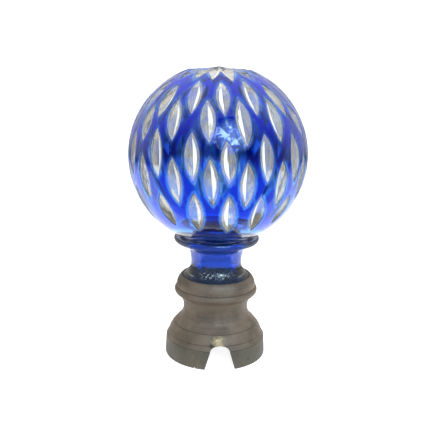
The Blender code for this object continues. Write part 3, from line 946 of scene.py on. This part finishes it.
def base_profile(glass, sizes):
    """The base's section, over its lip, down its mouldings and up its socket."""
    deck_z = BASE_HIGH_Z - SEAT_DEPTH
    band_top = (sizes.base_radius - BAND_TAPER, BAND_HEIGHT)
    bell_foot = (band_top[0] - BELL_SET_BACK, BELL_FOOT_Z)
    bell_top = (bell_foot[0] - BELL_SPREAD, BELL_TOP_Z)
    waist_foot = (bell_top[0] - FILLET_SET_BACK, WAIST_FOOT_Z)
    seat = glass.foot_radius + SEAT_SIDE_CLEARANCE
    lip = (seat + LIP_WALL, BASE_HIGH_Z)
    collar_foot = (seat + COLLAR_WALL, BEAD_FOOT_Z + BEAD_HEIGHT)
    bead_foot = (collar_foot[0] - COLLAR_TO_BEAD, BEAD_FOOT_Z)
    waist_bow = (bead_foot[0] + waist_foot[0]) / 2 - sizes.waist_radius
    socket = sizes.base_radius - SOCKET_WALL
    socket_waist = sizes.waist_radius - SOCKET_WAIST_WALL
    socket_head = bead_foot[0] - SOCKET_HEAD_WALL
    profile = [(0.0, deck_z), (seat, deck_z), (seat, BASE_HIGH_Z), lip]
    profile += bow(lip, collar_foot, COLLAR_BOW, 9)
    profile += bow(collar_foot, bead_foot, BEAD_PROUD, 12)
    profile += bow(bead_foot, waist_foot, -waist_bow, 26)
    profile += [bell_top]
    profile += bow(bell_top, bell_foot, BELL_BOW, 9)
    profile += bow(bell_foot, band_top, -BAND_STEP_BOW, 4)
    profile += [(sizes.base_radius, BAND_CHAMFER_HEIGHT), (sizes.base_radius - BAND_CHAMFER, 0.0)]
    profile += [(socket, 0.0), (socket, SOCKET_DEPTH), (socket_waist, WAIST_FOOT_Z + SOCKET_WAIST_RISE)]
    profile += [(socket_waist, BEAD_FOOT_Z - SOCKET_HEAD_DROP), (socket_head, BEAD_FOOT_Z)]
    profile += [(socket_head, deck_z - DECK_THICKNESS), (0.0, deck_z - DECK_THICKNESS)]
    return eased(profile, EDGE_EASE)


def prism(name, outline, reaches, azimuth):
    """A prism of an (across, up) outline that runs outwards at an azimuth."""
    count = len(outline)
    turn = Matrix.Rotation(math.radians(azimuth), 3, "Z")
    vertices = [tuple(turn @ Vector((x, -reach, z))) for reach in reaches for x, z in outline]
    faces = [tuple(range(count - 1, -1, -1)), tuple(range(count, 2 * count))]
    faces += [(i, (i + 1) % count, (i + 1) % count + count, i + count) for i in range(count)]
    return cutter(name, vertices, faces)


def notch_cutter(sizes):
    """A round-headed prism that opens the base's foot."""
    half = sizes.notch_width / 2
    foot = sizes.notch_foot_width / 2
    outline = [(-foot, -NOTCH_RUN_OUT), (-foot, 0.0)]
    for i in range(NOTCH_ARCH_STEPS + 1):
        angle = math.pi * i / NOTCH_ARCH_STEPS
        outline.append((-half * math.cos(angle), NOTCH_SPRING_Z + sizes.notch_rise * math.sin(angle)))
    outline += [(foot, 0.0), (foot, -NOTCH_RUN_OUT)]
    reaches = (sizes.waist_radius - SOCKET_WAIST_WALL, sizes.base_radius + NOTCH_RUN_OUT)
    return prism("notch_cutter", outline, reaches, FRONT_AZIMUTH)


class NEWEL_OT_cut_glass(Operator):
    """Make the glass: ball with its wheel cuts, collar, neck and foot in one hollow body"""

    bl_idname = "newel.cut_glass"
    bl_label = "Cut glass ball"

    def execute(self, context):
        sizes = context.scene.newel_glass
        rows = [row_cuts(row, sizes) for row in CUT_ROWS]
        cutters = []
        for row, cuts in zip(CUT_ROWS, rows):
            # Wedges that cross near the top are taken out one by one, because a cutter can't overlap itself
            groups = len(cuts) if row[0] == "crown" else 2
            for first in range(groups):
                cutters.append(row_cutter(f"{row[0]}_cutters_{first}", cuts[first::groups]))
        glass = carve("cut_glass_ball", turned("cut_glass_ball", glass_profile(sizes), GLASS_STEPS), cutters)
        smooth(glass.data)
        every_cut = [cut for cuts in rows for cut in cuts]
        set_cut_distance(glass.data, every_cut, sizes)
        set_glass_normals(glass.data, every_cut, sizes)
        glass.data.materials.append(glass_material(sizes, context.scene.newel_finishes))
        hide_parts("glass_ball")
        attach(glass, "root")
        lining = link_object("blue_lining", turned("blue_lining", lining_profile(sizes), GLASS_STEPS))
        smooth(lining.data)
        lining.data.materials.append(lining_material(context.scene.newel_finishes))
        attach(lining, "root")
        return {"FINISHED"}


class NEWEL_OT_brass_base(Operator):
    """Make the brass base with its mouldings, its seat for the glass, its socket and its notch"""

    bl_idname = "newel.brass_base"
    bl_label = "Brass base"

    def execute(self, context):
        sizes = context.scene.newel_base
        profile = base_profile(context.scene.newel_glass, sizes)
        nick = prism("nick_cutter", NICK_OUTLINE, NICK_REACH, NICK_AZIMUTH)
        blank = turned("turned_brass_base", profile, BASE_STEPS)
        base = carve("turned_brass_base", blank, [notch_cutter(sizes), nick])
        smooth(base.data)
        base.data.set_sharp_from_angle(angle=math.radians(SHARP_EDGE))
        base.data.materials.append(brass_material(context.scene.newel_finishes))
        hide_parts("brass_base")
        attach(base, "root")
        return {"FINISHED"}


def glowing(name, values):
    """A material that gives white light."""
    material, recipe, shader = new_material(name)
    recipe.dress(shader, {"Base Color": BLACK, "Specular IOR Level": 0.0, "Emission Color": WHITE, **values})
    return material, recipe, shader


def hide(thing, *rays):
    """Hides a thing from kinds of rays."""
    for ray in rays:
        setattr(thing, "visible_" + ray, False)


def paper(name, finishes, glow):
    values = {"Roughness": 0.9, "Specular IOR Level": 0.1, "Emission Strength": glow}
    material, recipe, shader = glowing(name, values)
    shade = tuple(0.985 * value for value in finishes.floor)
    recipe.dress(shader, {"Base Color": recipe.mix(recipe.noise(18.0, 3.0), finishes.floor, shade)})
    return material


def add_sheet(name, lines, cells, material):
    """Part of the paper, from its grid of points and the cells it takes."""
    vertices = [(x, y, z) for y, z in lines for x in FLOOR_EDGES]
    width = len(FLOOR_EDGES)
    starts = [row * width + column for row, column in cells]
    mesh = new_mesh(name, vertices, [(i, i + 1, i + 1 + width, i + width) for i in starts])
    smooth(mesh)
    mesh.materials.append(material)
    sheet = link_object(name, mesh)
    return sheet


def add_floor(finishes):
    """Pale paper: the floor that the glass sees, and the rest, which bends up behind."""
    lines = [(y, 0.0) for y in FLOOR_ROWS]
    for i in range(1, BEND_STEPS + 1):
        angle = math.pi / 2 * i / BEND_STEPS
        bend = FLOOR_ROWS[-1] + BACKDROP_BEND * math.sin(angle)
        lines.append((bend, BACKDROP_BEND * (1 - math.cos(angle))))
    lines.append((lines[-1][0], BACKDROP_TOP))
    cells = [(row, column) for row in range(len(lines) - 1) for column in range(len(FLOOR_EDGES) - 1)]
    floor_paper = paper("floor_paper", finishes, 0.9)
    add_sheet("floor", lines, [FLOOR_CELL], floor_paper)
    apron = add_sheet("apron", lines, [APRON_CELL], floor_paper)
    hide(apron, "glossy")
    far = [cell for cell in cells if cell not in (FLOOR_CELL, APRON_CELL)]
    backdrop = add_sheet("backdrop", lines, far, paper("backdrop_paper", finishes, 0.75))
    hide(backdrop, "glossy", "transmission")


def add_surround():
    """A white shell round the stage, which only the camera sees."""
    profile = [(0.0, SURROUND), *bow((0.0, SURROUND), (0.0, -SURROUND), SURROUND, 24)]
    profile[-1] = (0.0, -SURROUND)
    shell = link_object("surround", turned("surround", profile, 48))
    shell.data.materials.append(glowing("surround_white", {"Emission Strength": 1.0})[0])
    hide(shell, "diffuse", "glossy", "transmission", "shadow")


def aimed(place, target):
    """Transform of a lamp or card that faces a target."""
    look = Vector(target) - Vector(place)
    return Matrix.Translation(place) @ look.to_track_quat("-Z", "Y").to_matrix().to_4x4()


def add_glow(name, power):
    """A window's soft, patchy glow."""
    width, height = GLOW_SIZE
    corners = [(-0.5, -0.5), (0.5, -0.5), (0.5, 0.5), (-0.5, 0.5)]
    mesh = new_mesh(name, [(x * width, y * height, 0.0) for x, y in corners], [(3, 2, 1, 0)])
    card = link_object(name, mesh)
    card.matrix_world = aimed(GLOW_PLACE, (0, 0, 0.12))
    material, recipe, shader = glowing(name, {"Emission Strength": power})
    from_middle = recipe.length(recipe.vector("DIVIDE", recipe.place(), (width, height, 1.0)))
    patches = recipe.span(recipe.noise(5.0, 3.0, 0.6, distortion=1.0), 0.46, 0.64)
    glow = recipe.span(from_middle, 0.5, 0.05) * (0.22 + 1.4 * patches)
    recipe.dress(shader, {"Emission Color": recipe.mix(glow, BLACK, GLOW_COLOUR)})
    mesh.materials.append(material)
    hide(card, "camera", "shadow")


def add_area_light(name, place, target, width, power, colour=WHITE):
    """A soft square light that nothing mirrors."""
    data = bpy.data.lights.new(name, "AREA")
    data.size = width
    data.energy = power
    data.color = colour
    light = link_object(name, data)
    light.matrix_world = aimed(place, target)
    hide(light, "glossy", "transmission")


def add_camera(stage):
    data = bpy.data.cameras.new("camera")
    data.lens = stage.camera_lens
    data.sensor_width = 36.0
    camera = link_object("camera", data)
    place = Matrix.Translation((stage.camera_side, -stage.camera_back, stage.camera_height))
    tilt = Matrix.Rotation(math.pi / 2 - stage.camera_pitch, 4, "X")
    camera.matrix_world = place @ tilt @ Matrix.Rotation(stage.camera_roll, 4, "Z")
    bpy.context.scene.camera = camera


def set_world():
    """Soft sky: a pale wall over a dark gap behind, and a dim room in front."""
    world = bpy.data.worlds.new("studio")
    bpy.context.scene.world = world
    world.use_nodes = True
    recipe = Recipe(world.node_tree)
    _, y, z = recipe.axes(recipe.node("ShaderNodeTexCoord", output="Generated"))
    height = z * 0.5 + 0.5
    behind = recipe.ramp(height, SKY_BEHIND)
    colour = recipe.mix(recipe.span(y, -0.35, 0.35), recipe.ramp(height, SKY_IN_FRONT), behind)
    recipe.feed(world.node_tree.nodes["Background"].inputs["Color"], colour)


class NEWEL_OT_stage(Operator):
    """Make the floor, the lights and the camera"""

    bl_idname = "newel.stage"
    bl_label = "Studio stage"

    def execute(self, context):
        stage = context.scene.newel_stage
        add_camera(stage)
        add_floor(context.scene.newel_finishes)
        add_surround()
        set_world()
        add_glow("window_glow", stage.glow_strength)
        add_area_light("light_above", (0.0, 0.1, 1.6), (0, 0, 0), 2.0, stage.top_power)
        add_area_light("light_ahead", (0.1, -1.0, 0.7), (0, 0, 0.08), 0.8, stage.front_power, WARM)
        scene = context.scene
        scene.view_settings.view_transform = "Standard"
        scene.cycles.max_bounces = BOUNCES
        scene.cycles.transmission_bounces = BOUNCES
        scene.cycles.glossy_bounces = 8
        return {"FINISHED"}


class NEWEL_PT_panel(Panel):
    """Lists the sizes, the finishes and the steps of the newel ball"""

    bl_label = "Newel Ball"
    bl_idname = "NEWEL_PT_panel"
    bl_space_type = "VIEW_3D"
    bl_region_type = "UI"
    bl_category = "Newel Ball"

    def draw(self, context):
        layout = self.layout
        for operator in OPERATORS:
            layout.operator(operator.bl_idname)
        for name, group in GROUPS.items():
            box = layout.box()
            box.label(text=group.__doc__)
            for key in group.__annotations__:
                box.prop(getattr(context.scene, name), key)


GROUPS = {
    "newel_glass": GlassSizes,
    "newel_base": BaseSizes,
    "newel_finishes": Finishes,
    "newel_stage": StageSizes,
}
OPERATORS = (NEWEL_OT_stage, NEWEL_OT_brass_base, NEWEL_OT_cut_glass)


def register():
    for name, group in GROUPS.items():
        bpy.utils.register_class(group)
        setattr(bpy.types.Scene, name, PointerProperty(type=group))
    for cls in (*OPERATORS, NEWEL_PT_panel):
        bpy.utils.register_class(cls)


def unregister():
    for cls in (NEWEL_PT_panel, *reversed(OPERATORS)):
        bpy.utils.unregister_class(cls)
    for name, group in GROUPS.items():
        delattr(bpy.types.Scene, name)
        bpy.utils.unregister_class(group)


def main():
    register()
    bpy.ops.newel.stage()
    bpy.ops.newel.brass_base()
    bpy.ops.newel.cut_glass()


if __name__ == "__main__":
    main()
